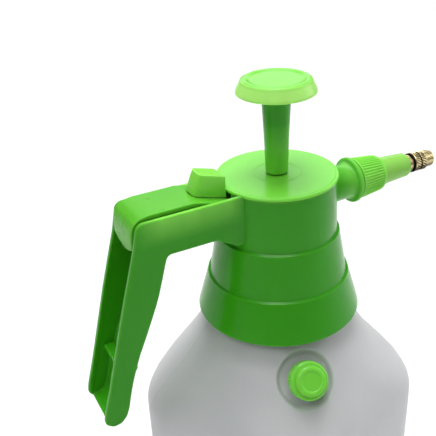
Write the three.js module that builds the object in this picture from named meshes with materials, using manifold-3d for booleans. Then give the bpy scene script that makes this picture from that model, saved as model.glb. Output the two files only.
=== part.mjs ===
// Hand pump pressure sprayer: a blow-moulded bottle, a screw-on pump head with a rear handle,
// a thumb lever that lifts the valve stem, a piston pump in the middle and an adjustable brass nozzle.
// Millimetres, +Z up. Origin: centre of the bottle's base. +X is the spraying direction, the handle is at -X.
// Heights in the sections below are written from the top of the cap, so they are mostly negative.
import * as THREE from "three";
import { mergeVertices } from "three/addons/utils/BufferGeometryUtils.js";
import Module from "manifold-3d";

const wasm = await Module();
wasm.setup();

// ---------------------------------------------------------------- driving dimensions
const CAP_TOP = 262; // height of the cap's upper face above the base
const CAP_R = 30; // cap disc
const CAP_T = 2; // its thickness
const SEG = 32; // facets of the large round parts

const BOTTLE_TURN = 23; // degrees between the bottle's flats and the spraying direction
const BOTTLE_HALF = 63; // half width of the body, flat to flat
const BOTTLE_WALL = 1.8;
const NECK_R = 26.6;
const NECK_BORE = 24.4;
const MOUTH = -35.5; // top of the neck
const THREAD_PITCH = 6;

const DECK_TOP = -30.2; // floor of the head
const DECK_LOW = -33;
const SPOUT_H = -15.3; // height of the spray axis
const ARM_HALF = 14; // half width of the handle channel
const ARM_WALL = 2.2;
const ARM_TOP = -0.7;
const ARM_LOW = -19.7;
const PIVOT = [-36, -9]; // lever pivot, x and height
const VALVE_X = -19.6;
const BARREL_R = 12.6;
const BARREL_BORE = 11.2;
const BARREL_FOOT = -104;
const ROD_R = 3;
const RELIEF_AZ = -104; // direction of the relief valve, on the bottle's corner
const RELIEF_H = -92; // height of its centre on the shoulder

// ---------------------------------------------------------------- helpers
const deg = Math.PI / 180;

function toSolid(geometry) {
  let g = geometry.index ? geometry.toNonIndexed() : geometry.clone();
  g.deleteAttribute("normal");
  g.deleteAttribute("uv");
  g = mergeVertices(g, 1e-4);
  const src = g.index.array;
  const tri = [];
  for (let i = 0; i < src.length; i += 3) {
    const [a, b, c] = [src[i], src[i + 1], src[i + 2]];
    if (a !== b && b !== c && a !== c) tri.push(a, b, c);
  }
  const make = (t) =>
    new wasm.Manifold(
      new wasm.Mesh({
        numProp: 3,
        vertProperties: new Float32Array(g.attributes.position.array),
        triVerts: new Uint32Array(t),
      }),
    );
  let s = make(tri);
  if (s.volume() < 0) {
    for (let i = 0; i < tri.length; i += 3)
      [tri[i + 1], tri[i + 2]] = [tri[i + 2], tri[i + 1]];
    s = make(tri);
  }
  return s;
}

function toGeometry(s) {
  const m = s.getMesh(),
    n = m.numProp,
    v = new Float32Array(m.numVert * 3);
  for (let i = 0; i < m.numVert; i++)
    v.set(m.vertProperties.subarray(i * n, i * n + 3), i * 3);
  const g = new THREE.BufferGeometry()
    .setAttribute("position", new THREE.BufferAttribute(v, 3))
    .setIndex(new THREE.BufferAttribute(new Uint32Array(m.triVerts), 1));
  g.computeVertexNormals();
  return g;
}

// Profile of [radius, height] pairs turned about Z. Off the axis it closes on itself.
function latheGeo(profile, seg = SEG) {
  const p = profile.map(([r, h]) => new THREE.Vector2(r, h));
  if (p[0].x > 1e-6 || p[p.length - 1].x > 1e-6) p.push(p[0].clone());
  const g = new THREE.LatheGeometry(p, seg);
  g.rotateX(Math.PI / 2);
  return g;
}
const lathe = (profile, seg) => toSolid(latheGeo(profile, seg));

// The same about the spray axis: pairs are [radius, distance along +X].
function latheX(profile, seg = 16) {
  const g = latheGeo(profile, seg);
  g.rotateY(Math.PI / 2);
  g.translate(0, 0, SPOUT_H);
  return toSolid(g);
}

function box(x0, x1, y0, y1, z0, z1) {
  const g = new THREE.BoxGeometry(x1 - x0, y1 - y0, z1 - z0);
  g.translate((x0 + x1) / 2, (y0 + y1) / 2, (z0 + z1) / 2);
  return toSolid(g);
}

function rod(r, a, b, seg = 12) {
  const va = new THREE.Vector3(...a),
    vb = new THREE.Vector3(...b);
  const g = new THREE.CylinderGeometry(r, r, va.distanceTo(vb), seg);
  const q = new THREE.Quaternion().setFromUnitVectors(
    new THREE.Vector3(0, 1, 0),
    vb.clone().sub(va).normalize(),
  );
  g.applyQuaternion(q);
  g.translate(...va.add(vb).multiplyScalar(0.5).toArray());
  return toSolid(g);
}

// Outline of [x, height] pairs, extruded from y0 to y1.
function slab(points, y0, y1) {
  const shape = new THREE.Shape(points.map(([x, h]) => new THREE.Vector2(x, h)));
  const g = new THREE.ExtrudeGeometry(shape, {
    depth: y1 - y0,
    bevelEnabled: false,
    curveSegments: 4,
  });
  g.rotateX(Math.PI / 2); // outline in XZ, depth along -Y
  g.translate(0, y1, 0);
  return toSolid(g);
}

// Tube or cord of round section along a list of points.
function sweep(points, r, sides, steps, bore = 0) {
  const ring = (radius) =>
    Array.from({ length: sides }, (_, i) => {
      const a = (2 * Math.PI * i) / sides;
      return new THREE.Vector2(radius * Math.cos(a), radius * Math.sin(a));
    });
  const shape = new THREE.Shape(ring(r));
  if (bore) shape.holes.push(new THREE.Path(ring(bore)));
  const path = new THREE.CatmullRomCurve3(
    points.map((p) => new THREE.Vector3(...p)),
    false,
    "centripetal",
  );
  return toSolid(
    new THREE.ExtrudeGeometry(shape, {
      steps,
      bevelEnabled: false,
      extrudePath: path,
    }),
  );
}

function helix(radius, h0, h1, turns, start, n) {
  return Array.from({ length: n + 1 }, (_, i) => {
    const t = i / n,
      a = start + 2 * Math.PI * turns * t;
    return [radius * Math.cos(a), radius * Math.sin(a), h0 + (h1 - h0) * t];
  });
}

const PLASTIC = { roughness: 0.32, metalness: 0 };
const LOOKS = {
  green: { color: 0x5fbf33, ...PLASTIC },
  lightGreen: { color: 0x7fd44e, ...PLASTIC },
  milky: { color: 0xe4e6e9, roughness: 0.42, metalness: 0 },
  natural: { color: 0xd8dcdc, roughness: 0.4, metalness: 0 },
  black: { color: 0x161616, roughness: 0.75, metalness: 0 },
  brass: { color: 0xb79145, roughness: 0.3, metalness: 1 },
  steel: { color: 0xb8bcc0, roughness: 0.3, metalness: 1 },
  hose: { color: 0xcfd6d2, roughness: 0.35, metalness: 0 },
};

const sprayer = new THREE.Group();
const upper = new THREE.Group(); // everything below is measured from the cap's upper face
upper.position.z = CAP_TOP;
sprayer.add(upper);

function add(name, solid, look, group = upper) {
  const mesh = new THREE.Mesh(
    toGeometry(solid),
    new THREE.MeshStandardMaterial(LOOKS[look]),
  );
  mesh.name = name;
  group.add(mesh);
  return mesh;
}

// ---------------------------------------------------------------- bottle
// The section is a circle at the neck and turns into a rounded square below the shoulder.
const smooth = (t) => {
  const u = Math.min(1, Math.max(0, t));
  return u * u * (3 - 2 * u);
};
const cornerRatio = (h) => 1 - 0.46 * smooth((-h - 98) / 36);
function sectionRadius(half, corner, angle) {
  let a = Math.abs(((angle % (Math.PI / 2)) + Math.PI / 2) % (Math.PI / 2));
  if (a > Math.PI / 4) a = Math.PI / 2 - a;
  const c = half - corner;
  if (half * Math.tan(a) <= c + 1e-9) return half / Math.cos(a);
  const s = Math.cos(a) + Math.sin(a);
  return c * s + Math.sqrt(corner * corner - c * c * (1 - Math.sin(2 * a)));
}
const SHOULDER = [
  [28.2, -66.5],
  [30.4, -70],
  [38, -80.5],
  [46, -92],
  [53.2, -103],
  [57.4, -110.5],
  [60.6, -118],
  [62.4, -126],
  [BOTTLE_HALF, -134],
];
const FOOT = [
  [BOTTLE_HALF, -250],
  [61.6, -255.5],
  [58.8, -259.8],
  [54, -CAP_TOP],
];
function bottleShape(profile, inset) {
  const g = latheGeo(profile, 32);
  const p = g.attributes.position;
  for (let i = 0; i < p.count; i++) {
    const x = p.getX(i),
      y = p.getY(i),
      h = p.getZ(i),
      r = Math.hypot(x, y);
    if (r < 1e-6) continue;
    const a = Math.atan2(y, x);
    const k = cornerRatio(h);
    const corner = Math.min(r, Math.max(1, (r + inset) * k - inset));
    const rr = k > 0.999 ? r : sectionRadius(r, corner, a - BOTTLE_TURN * deg);
    p.setX(i, rr * Math.cos(a));
    p.setY(i, rr * Math.sin(a));
  }
  return toSolid(g);
}
{
  const outer = bottleShape(
    [
      [0, MOUTH],
      [25.8, MOUTH],
      [NECK_R, MOUTH - 0.8],
      [NECK_R, -63.5],
      ...SHOULDER,
      [BOTTLE_HALF, -192],
      ...FOOT,
      [0, -CAP_TOP],
    ].reverse(),
    0,
  );
  const inner = bottleShape(
    [
      [0, MOUTH + 2],
      [NECK_BORE, MOUTH + 2],
      [NECK_BORE, -65],
      ...SHOULDER.filter((_, i) => i % 2).map(([r, h]) => [r - 1.9, h - 1.2]),
      [BOTTLE_HALF - BOTTLE_WALL, -192],
      [BOTTLE_HALF - BOTTLE_WALL, -250],
      [59.6, -254.8],
      [57, -258],
      [52.5, -CAP_TOP + 2.2],
      [0, -CAP_TOP + 2.2],
    ].reverse(),
    BOTTLE_WALL,
  );
  var bottle = outer.subtract(inner);
  bottle = bottle.add(
    sweep(helix(26.9, -40, -40 - 1.25 * THREAD_PITCH, -1.25, 0, 24), 1.1, 5, 24),
  );
}

// Frame of the relief valve: w points out of the shoulder along its normal.
const reliefDir = new THREE.Vector3(
  Math.cos(RELIEF_AZ * deg),
  Math.sin(RELIEF_AZ * deg),
  0,
);
const SLOPE = Math.atan2(103 - 80.5, 53.2 - 38); // shoulder angle below the horizontal
const reliefAxis = reliefDir
  .clone()
  .multiplyScalar(Math.sin(SLOPE))
  .add(new THREE.Vector3(0, 0, Math.cos(SLOPE)));
const POCKET = 4.6; // depth of the pocket's floor below the shoulder surface
const reliefFloor = reliefDir
  .clone()
  .multiplyScalar(46.4)
  .add(new THREE.Vector3(0, 0, RELIEF_H))
  .addScaledVector(reliefAxis, -POCKET);
const reliefTurn = new THREE.Quaternion().setFromUnitVectors(
  new THREE.Vector3(0, 0, 1),
  reliefAxis,
);
function onRelief(profile, seg = 14) {
  const g = latheGeo(profile, seg);
  g.applyQuaternion(reliefTurn);
  g.translate(reliefFloor.x, reliefFloor.y, reliefFloor.z);
  return toSolid(g);
}
{
  const cup = onRelief([
    [0, -1.9],
    [14.2, -1.9],
    [15.4, -0.7],
    [15.4, 2.4],
    [0, 2.4],
  ]);
  const pocket = onRelief([
    [0, 0],
    [13, 0],
    [13.6, 0.6],
    [14.4, 22],
    [0, 22],
  ]);
  const hole = onRelief([
    [0, -8],
    [5.3, -8],
    [5.3, 4],
    [0, 4],
  ]);
  // the cup is trimmed to the inside of the bottle's outer skin
  bottle = bottle.add(cup).subtract(pocket).subtract(hole);
}
add("tank_bottle", bottle, "milky");

add(
  "neck_gasket",
  lathe(
    [
      [24.9, -35.1],
      [28.3, -35.1],
      [28.3, -33.4],
      [24.9, -33.4],
    ],
    20,
  ),
  "black",
);

// relief valve: body and nut stay on the bottle, the knob lifts the disc against the spring
add(
  "relief_body",
  onRelief([
    [1.6, -9],
    [4.9, -9],
    [4.9, 1.5],
    [8, 1.5],
    [8, 3],
    [5.4, 3],
    [5.4, 7.6],
    [3.9, 7.6],
    [3.9, -7.4],
    [1.6, -7.4],
  ]),
  "green",
);
add(
  "relief_gasket",
  onRelief([
    [5.3, 0.3],
    [7.8, 0.3],
    [7.8, 1.2],
    [5.3, 1.2],
  ]),
  "black",
);
add(
  "relief_nut",
  onRelief([
    [5.3, -4.8],
    [9, -4.8],
    [9, -2.3],
    [5.3, -2.3],
  ]),
  "green",
);
add(
  "relief_cap",
  onRelief([
    [1.7, 5.4],
    [3.6, 5.4],
    [3.6, 7.9],
    [5.2, 7.9],
    [5.2, 8.8],
    [1.7, 8.8],
  ]),
  "green",
);
add(
  "relief_disc",
  onRelief([
    [0, -7.1],
    [3.3, -7.1],
    [3.3, -5.6],
    [0, -5.6],
  ]),
  "black",
);
add(
  "relief_spring",
  (() => {
    const g = new THREE.ExtrudeGeometry(
      new THREE.Shape(
        Array.from({ length: 5 }, (_, i) => {
          const a = (2 * Math.PI * i) / 5;
          return new THREE.Vector2(0.42 * Math.cos(a), 0.42 * Math.sin(a));
        }),
      ),
      {
        steps: 30,
        bevelEnabled: false,
        extrudePath: new THREE.CatmullRomCurve3(
          helix(2.6, -3.6, 1.7, 3, 0, 30).map((p) => new THREE.Vector3(...p)),
        ),
      },
    );
    g.applyQuaternion(reliefTurn);
    g.translate(reliefFloor.x, reliefFloor.y, reliefFloor.z);
    return toSolid(g);
  })(),
  "steel",
);
add(
  "relief_knob",
  onRelief([
    [0, -5.3],
    [3.3, -5.3],
    [3.3, -4.4],
    [1.3, -4.4],
    [1.3, 10],
    [6.6, 10],
    [6.6, 3.8],
    [9, 3.8],
    [9.6, 4.4],
    [9.6, 9.6],
    [8.6, 10.4],
    [7.6, 10.4],
    [7.4, 12.9],
    [6.4, 13.6],
    [0, 13.6],
  ]),
  "lightGreen",
);

// ---------------------------------------------------------------- pump head shell
{
  let head = lathe([
    [13.1, DECK_LOW],
    [28.9, DECK_LOW],
    [28.9, -58],
    [31.1, -58],
    [31.1, -46],
    [32.5, -53],
    [33.7, -54.3],
    [39.3, -73.2],
    [39.9, -74],
    [41.4, -74],
    [42, -73.3],
    [36.1, -53.4],
    [35.8, -52.8],
    [35.2, -52.5],
    [31, -30.4],
    [30.6, -29.7],
    [29.7, -29.4],
    [29.4, -2.4],
    [27.2, -2.4],
    [27.3, DECK_TOP],
    [13.1, DECK_TOP],
  ]);
  const spout = latheX([
    [0, 27.6],
    [9.3, 27.6],
    [8.9, 41.6],
    [9.6, 42.6],
    [11.4, 42.7],
    [11.85, 43.3],
    [11.85, 44.5],
    [11.3, 45.2],
    [8.1, 45.2],
    [8.1, 56.9],
    [7.6, 57.4],
    [0, 57.4],
  ]);
  head = head.add(spout);
  // bore of the spout, open into the housing
  head = head.subtract(
    latheX([
      [0, 20],
      [3.5, 20],
      [3.5, 38],
      [2.4, 38],
      [2.4, 60],
      [0, 60],
    ]),
  );
  // thread of the collar, half a pitch below the one of the neck
  head = head.add(
    sweep(
      helix(28.75, -43, -43 - 1.25 * THREAD_PITCH, -1.25, 0, 24),
      1.1,
      5,
      24,
    ),
  );
  // hole for the valve's inlet, and the window for the lever under the cap
  head = head
    .subtract(rod(2.9, [VALVE_X, 0, -36], [VALVE_X, 0, -28]))
    .subtract(box(-34, -22, -6.2, 6.2, -10.4, 0));
  add("head_housing", head, "green");
}

// handle: arm and grip are one channel, open on top and at the back
{
  const side = [
    [-26.8, ARM_TOP],
    [-74.6, ARM_TOP],
    [-76.6, ARM_TOP - 0.7],
    [-78.1, ARM_TOP - 2.2],
    [-78.9, -4.6],
    [-81.7, -14.3],
    [-85.8, -28.5],
    [-90, -43],
    [-93.4, -55.9],
    [-97.4, -71.1],
    [-101.4, -86],
    [-104.6, -97],
    [-105.3, -101.4],
    [-104, -104.2],
    [-101.4, -105.2],
    [-97.6, -104.6],
    [-94.6, -102],
    [-92.6, -97.6],
    [-89.6, -85],
    [-84.9, -71],
    [-78.4, -56.3],
    [-72.2, -41.5],
    [-69.2, -31.4],
    [-67.1, -24.1],
    [-65.4, -21.3],
    [-62.6, ARM_LOW],
    [-41, ARM_LOW],
    [-29.9, -25.6],
    [-26.8, -25.6],
  ];
  const hollow = [
    [-22, 6],
    [-90, 6],
    [-100, -30],
    [-112, -75],
    [-118, -112],
    [-106.2, -108],
    [-104.9, -104.7],
    [-102.6, -102.9],
    [-99.4, -102.6],
    [-96.9, -100.8],
    [-94.9, -96.8],
    [-91.8, -84.3],
    [-87.1, -70.2],
    [-80.5, -55.5],
    [-74.3, -40.8],
    [-71.3, -30.8],
    [-69.1, -23.2],
    [-66.6, -18.9],
    [-63, ARM_LOW + 2.2],
    [-22, ARM_LOW + 2.2],
  ];
  const inside = ARM_HALF - ARM_WALL;
  let handle = slab(side, -ARM_HALF, ARM_HALF).subtract(
    slab(hollow, -inside, inside),
  );
  // cut back to the housing's wall, clear of it by 0.3
  handle = handle.subtract(
    lathe([
      [0, -29.6],
      [30, -29.6],
      [29.75, -2.6],
      [30.4, -2.3],
      [30.4, 2],
      [0, 2],
    ]),
  );
  handle = handle.subtract(
    lathe([
      [0, -40],
      [33, -40],
      [31.1, -29.6],
      [0, -29.6],
    ]),
  );
  // blind sockets for the lever's trunnions
  handle = handle.subtract(
    rod(2.15, [PIVOT[0], -13.35, PIVOT[1]], [PIVOT[0], 13.35, PIVOT[1]]),
  );
  // two cross ribs stiffen the grip's channel
  const rib = (x0, x1, h0, h1) => box(x0, x1, -inside - 0.4, inside + 0.4, h0, h1);
  handle = handle.add(rib(-93.5, -85.5, -77.4, -75.6));
  add("handle_grip", handle, "green");
}

// ---------------------------------------------------------------- cap
{
  let cap = lathe([
    [3.4, -CAP_T],
    [3.4, 0],
    [29.2, 0],
    [29.8, -0.3],
    [CAP_R, -0.9],
    [29.9, -1.6],
    [29.4, -CAP_T],
    [26.9, -CAP_T],
    [26.9, -6.2],
    [24.9, -6.2],
    [24.9, -CAP_T],
    [15, -CAP_T],
    [15, -7],
    [13, -7],
    [13, -CAP_T],
  ].reverse());
  cap = cap
    .subtract(box(-31, -13.6, -6.6, 6.6, -9, -CAP_T))
    .subtract(box(13.6, 31, -6.6, 6.6, -9, -CAP_T));
  add("top_cap", cap, "lightGreen");
}

// ---------------------------------------------------------------- pump
add(
  "pump_knob",
  lathe([
    [0, 47.1],
    [15.6, 47.1],
    [16.4, 46.8],
    [16.8, 46.2],
    [19.1, 41.6],
    [19.2, 40.8],
    [18.7, 40.3],
    [17.6, 40.2],
    [8.4, 39.4],
    [7, 38],
    [6.1, 20],
    [5.5, 1.4],
    [5.2, 0.6],
    [4.6, 0.3],
    [3.3, 0.3],
    [3.3, 34],
    [0, 34],
  ].reverse(), 28),
  "lightGreen",
);
add(
  "piston_rod",
  lathe(
    [
      [0, -101.6],
      [2.4, -101.6],
      [2.4, -90.7],
      [ROD_R, -90.7],
      [ROD_R, 33.7],
      [0, 33.7],
    ],
    16,
  ),
  "steel",
);
add(
  "piston",
  lathe(
    [
      [2.7, -98],
      [10.6, -98],
      [10.6, -96.2],
      [8.9, -96.2],
      [8.9, -93],
      [10.6, -93],
      [10.6, -91.2],
      [5, -91],
      [2.7, -91],
    ],
    16,
  ),
  "natural",
);
add(
  "piston_seal",
  lathe(
    [
      [9.2, -95.6],
      [10.4, -95.9],
      [10.9, -94.6],
      [10.4, -93.3],
      [9.2, -93.6],
    ],
    16,
  ),
  "black",
);
add(
  "piston_nut",
  lathe(
    [
      [2.7, -101.2],
      [4.6, -101.2],
      [4.6, -98.3],
      [2.7, -98.3],
    ],
    12,
  ),
  "steel",
);
add(
  "pump_barrel",
  lathe(
    [
      [BARREL_BORE, BARREL_FOOT],
      [BARREL_R, BARREL_FOOT],
      [BARREL_R, -29.1],
      [14.2, -29.1],
      [14.2, -27],
      [BARREL_R, -27],
      [BARREL_R, -3],
      [BARREL_BORE, -3],
    ],
    20,
  ),
  "natural",
);
add(
  "barrel_gasket",
  lathe(
    [
      [13, -29.95],
      [14.4, -29.95],
      [14.4, -29.35],
      [13, -29.35],
    ],
    20,
  ),
  "black",
);
add(
  "rod_guide",
  lathe(
    [
      [3.35, -9],
      [10.8, -9],
      [10.8, -2.6],
      [3.35, -2.6],
    ],
    16,
  ),
  "natural",
);
{
  let foot = lathe(
    [
      [0, -114],
      [1.6, -114],
      [2.6, -112.6],
      [1.6, -111.6],
      [1.6, -109],
      [BARREL_R, -109],
      [BARREL_R, -104.3],
      [10.8, -104.3],
      [10.8, -107],
      [0, -107],
    ],
    20,
  );
  for (let i = 0; i < 4; i++) {
    const a = (45 + 90 * i) * deg;
    foot = foot.subtract(
      rod(
        1.2,
        [5 * Math.cos(a), 5 * Math.sin(a), -111],
        [5 * Math.cos(a), 5 * Math.sin(a), -105],
        6,
      ),
    );
  }
  add("barrel_foot", foot, "natural");
}
add(
  "check_valve_flap",
  lathe(
    [
      [1.9, -111.2],
      [4, -110.8],
      [8.4, -110.2],
      [8.4, -109.3],
      [1.9, -109.3],
    ],
    16,
  ),
  "black",
);

// ---------------------------------------------------------------- valve
const atValve = (profile, seg = 12) => {
  const g = latheGeo(profile, seg);
  g.translate(VALVE_X, 0, 0);
  return toSolid(g);
};
add(
  "valve_body",
  atValve([
    [1.2, -41],
    [2.4, -41],
    [2.4, -29.9],
    [4.8, -29.9],
    [4.8, -11.3],
    [3.3, -11.3],
    [3.3, -27],
    [1.2, -27],
  ])
    .add(rod(2.1, [VALVE_X, 4.3, -19], [VALVE_X, 8.6, -19], 12))
    .subtract(rod(1.2, [VALVE_X, 2, -19], [VALVE_X, 11, -19], 12)),
  "natural",
);
add(
  "valve_gland",
  atValve([
    [1.4, -12.6],
    [3, -12.6],
    [3, -11],
    [4.7, -11],
    [4.7, -9.2],
    [1.4, -9.2],
  ]),
  "natural",
);
add(
  "valve_stem",
  atValve([
    [0, -25],
    [2.7, -25],
    [2.7, -24],
    [1.1, -24],
    [1.1, -5.7],
    [2.6, -5.7],
    [2.6, -4.4],
    [0, -4.4],
  ]),
  "brass",
);
add(
  "stem_seal",
  atValve([
    [0, -26.8],
    [2.7, -26.8],
    [2.7, -25.3],
    [0, -25.3],
  ]),
  "black",
);
{
  const g = sweep(
    helix(2.1, -23.4, -13.1, 4, 0, 36).map(([x, y, h]) => [x + VALVE_X, y, h]),
    0.34,
    5,
    36,
  );
  add("valve_spring", g, "steel");
}

// supply and delivery
add(
  "dip_tube",
  atValve(
    [
      [2.8, -248],
      [3.6, -248],
      [3.6, -34.4],
      [2.8, -34.4],
    ],
    12,
  ),
  "hose",
);
{
  let filter = atValve(
    [
      [0, -257.5],
      [4.6, -257.5],
      [5, -257],
      [5, -246],
      [4, -244.5],
      [3.9, -243],
      [3.9, -248.4],
      [3.9, -248.4],
    ].slice(0, 6).concat([
      [3.9, -255.8],
      [0, -255.8],
    ]),
    16,
  );
  filter = filter
    .subtract(box(VALVE_X - 8, VALVE_X + 8, -0.8, 0.8, -255, -250))
    .subtract(box(VALVE_X - 0.8, VALVE_X + 0.8, -8, 8, -255, -250));
  add("dip_filter", filter, "natural");
}
{
  const pts = [
    [VALVE_X, 6.2, -19],
    [VALVE_X, 8, -19],
    [VALVE_X, 9.8, -19],
  ];
  for (let a = 145; a >= 35; a -= 10) {
    const R = 20.9 + 0.9 * Math.abs(a - 90) / 55;
    pts.push([
      R * Math.cos(a * deg),
      R * Math.sin(a * deg),
      -19 + 3.7 * smooth((145 - a) / 110),
    ]);
  }
  pts.push([19.6, 9.8, SPOUT_H], [19.6, 8, SPOUT_H], [19.6, 6.2, SPOUT_H]);
  add("delivery_hose", sweep(pts, 3.1, 8, 22, 2.55), "hose");
}
add(
  "spout_elbow",
  rod(3.1, [24.2, 0, SPOUT_H], [36.5, 0, SPOUT_H], 16)
    .add(box(16.2, 24.4, -3.4, 3.6, SPOUT_H - 3.4, SPOUT_H + 3.4))
    .add(rod(2.1, [19.6, 3.4, SPOUT_H], [19.6, 8.6, SPOUT_H], 12))
    .subtract(rod(1.2, [19.6, 0, SPOUT_H], [19.6, 11, SPOUT_H], 12))
    .subtract(rod(1.2, [19, 0, SPOUT_H], [38, 0, SPOUT_H], 12)),
  "natural",
);

// ---------------------------------------------------------------- lever and lock slider
{
  const top = [
    [-31.2, -3.7],
    [-48.2, 0.9],
    [-49.6, 1.15],
    [-51, 1.2],
    [-72, 1.2],
    [-76.4, 0.4],
    [-79.4, -1.7],
    [-81, -5],
    [-81.4, -9],
    [-81.3, -14.6],
  ];
  const under = [
    [-79.7, -14.6],
    [-79.4, -6.4],
    [-78, -3.4],
    [-75.6, -1.8],
    [-71.6, -1.2],
    [-51, -1.2],
    [-48.2, -1.5],
    [-31.2, -6.05],
  ];
  let lever = slab([...top, ...under], -11.2, 11.2);
  // apron at the rear, its lower edge curved
  lever = lever.add(
    slab(
      [
        [-81.35, -10],
        [-81.25, -17.2],
        [-79.8, -17.2],
        [-79.55, -10],
      ],
      -11.2,
      11.2,
    ).intersect(rod(20.6, [-90, 0, 3.4], [-70, 0, 3.4], 40)),
  );
  // web, pivot boss, trunnions and the fork that lifts the valve stem
  lever = lever
    .add(
      slab(
        [
          [-31.4, -4.6],
          [-37.4, -2.9],
          [-37.4, -9],
          [-31.4, -8.2],
        ],
        -5,
        5,
      ),
    )
    .add(box(-33, -15.9, -4.6, 4.6, -8.2, -6))
    .add(rod(3, [PIVOT[0], -11.2, PIVOT[1]], [PIVOT[0], 11.2, PIVOT[1]]))
    .add(rod(1.8, [PIVOT[0], -13, PIVOT[1]], [PIVOT[0], 13, PIVOT[1]], 12))
    .add(box(-37.2, -34.8, -10.6, -8.6, -9, -3.2))
    .add(box(-37.2, -34.8, 8.6, 10.6, -9, -3.2))
    .subtract(rod(1.6, [VALVE_X, 0, -10], [VALVE_X, 0, -4], 12))
    .subtract(box(VALVE_X, -14, -1.6, 1.6, -10, -4))
    .subtract(box(-47.2, -38.8, -2.2, 2.2, -6, 4));
  add("trigger_lever", lever, "green");

  let block = slab(
    [
      [-47.2, 0.98],
      [-46.5, 3.6],
      [-45.2, 7.2],
      [-43.8, 10.2],
      [-43.1, 10.6],
      [-42.2, 10.4],
      [-31, 7.3],
      [-30.5, 6.7],
      [-30.5, -3.5],
    ],
    -5.3,
    5.3,
  );
  block = block
    .add(
      slab(
        [
          [-43.6, 1],
          [-43.6, -3.6],
          [-39.2, -4.8],
          [-39.2, 0],
        ],
        -1.7,
        1.7,
      ),
    )
    .add(
      slab(
        [
          [-45, -2.65],
          [-45, -4.1],
          [-38.2, -5.95],
          [-38.2, -4.5],
        ],
        -4,
        4,
      ),
    );
  add("lock_slider", block, "green");
}

// ---------------------------------------------------------------- nozzle
add(
  "nozzle_gasket",
  latheX([
    [3, 57.7],
    [7, 57.7],
    [7, 58.8],
    [3, 58.8],
  ]),
  "black",
);
add(
  "nozzle_holder",
  latheX([
    [2.3, 59.1],
    [8.1, 59.1],
    [8.1, 61],
    [7.4, 61],
    [7.35, 64],
    [6.3, 79.4],
    [5.9, 80.1],
    [4.1, 80.1],
    [4.1, 70],
    [2.3, 70],
  ]),
  "green",
);
add(
  "coupling_nut",
  latheX(
    [
      [8.5, 45.6],
      [10.7, 45.6],
      [11.1, 46.2],
      [9.5, 60],
      [9, 61.4],
      [8.1, 62.4],
      [7.75, 62.4],
      [7.75, 61.3],
      [8.5, 61.3],
    ],
    24,
  ),
  "lightGreen",
);
add(
  "nozzle_strainer",
  latheX(
    [
      [1.4, 59.4],
      [2, 59.4],
      [2, 68],
      [0, 68],
      [0, 67],
      [1.4, 67],
    ],
    12,
  ),
  "natural",
);
add(
  "nozzle_stem",
  latheX([
    [1.2, 70.3],
    [3.8, 70.3],
    [3.8, 80.4],
    [4.5, 80.4],
    [4.5, 82],
    [3, 82],
    [3, 92],
    [1.4, 94],
    [0, 94],
    [0, 91],
    [1.2, 91],
  ]),
  "brass",
);
add(
  "nozzle_oring",
  latheX([
    [3.3, 83.2],
    [3.6, 82.5],
    [4.3, 82.2],
    [5.1, 82.5],
    [5.4, 83.2],
    [5.1, 83.9],
    [4.3, 84.2],
    [3.6, 83.9],
  ]),
  "black",
);
add(
  "nozzle_sleeve",
  latheX([
    [3.4, 84.5],
    [5, 84.5],
    [5.3, 84.9],
    [5.3, 90.9],
    [4.6, 91.3],
    [4.5, 96.9],
    [4.1, 97.4],
    [2.3, 97.4],
    [0.6, 96],
    [0.6, 95],
    [3.4, 94.6],
  ]),
  "brass",
);

export default sprayer;
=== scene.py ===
import math

import bmesh
import bpy
import numpy as np
from mathutils import Matrix, Vector


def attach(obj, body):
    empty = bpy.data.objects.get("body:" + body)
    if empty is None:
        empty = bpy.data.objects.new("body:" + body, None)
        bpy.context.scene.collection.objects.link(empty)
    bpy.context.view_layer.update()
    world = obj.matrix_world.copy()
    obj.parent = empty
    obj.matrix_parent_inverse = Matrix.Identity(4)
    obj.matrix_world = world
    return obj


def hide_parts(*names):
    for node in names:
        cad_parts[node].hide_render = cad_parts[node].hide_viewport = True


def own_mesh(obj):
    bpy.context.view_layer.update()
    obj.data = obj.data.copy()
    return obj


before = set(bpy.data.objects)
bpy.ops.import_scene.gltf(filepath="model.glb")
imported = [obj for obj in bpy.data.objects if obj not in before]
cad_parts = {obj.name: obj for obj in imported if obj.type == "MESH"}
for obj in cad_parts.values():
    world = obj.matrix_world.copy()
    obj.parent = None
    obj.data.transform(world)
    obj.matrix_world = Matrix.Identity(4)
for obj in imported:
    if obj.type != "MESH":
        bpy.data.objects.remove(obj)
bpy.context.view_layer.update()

# Looks of a hand pump pressure sprayer, built around the imported parts.
# Shapes are written in millimetres, heights from the top of the cap (CAP above the base), and turned into metres in
# mesh_object().
CAP = 262.0
SPOUT_H = -15.3
VALVE_X = -19.6
rad = math.radians


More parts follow.
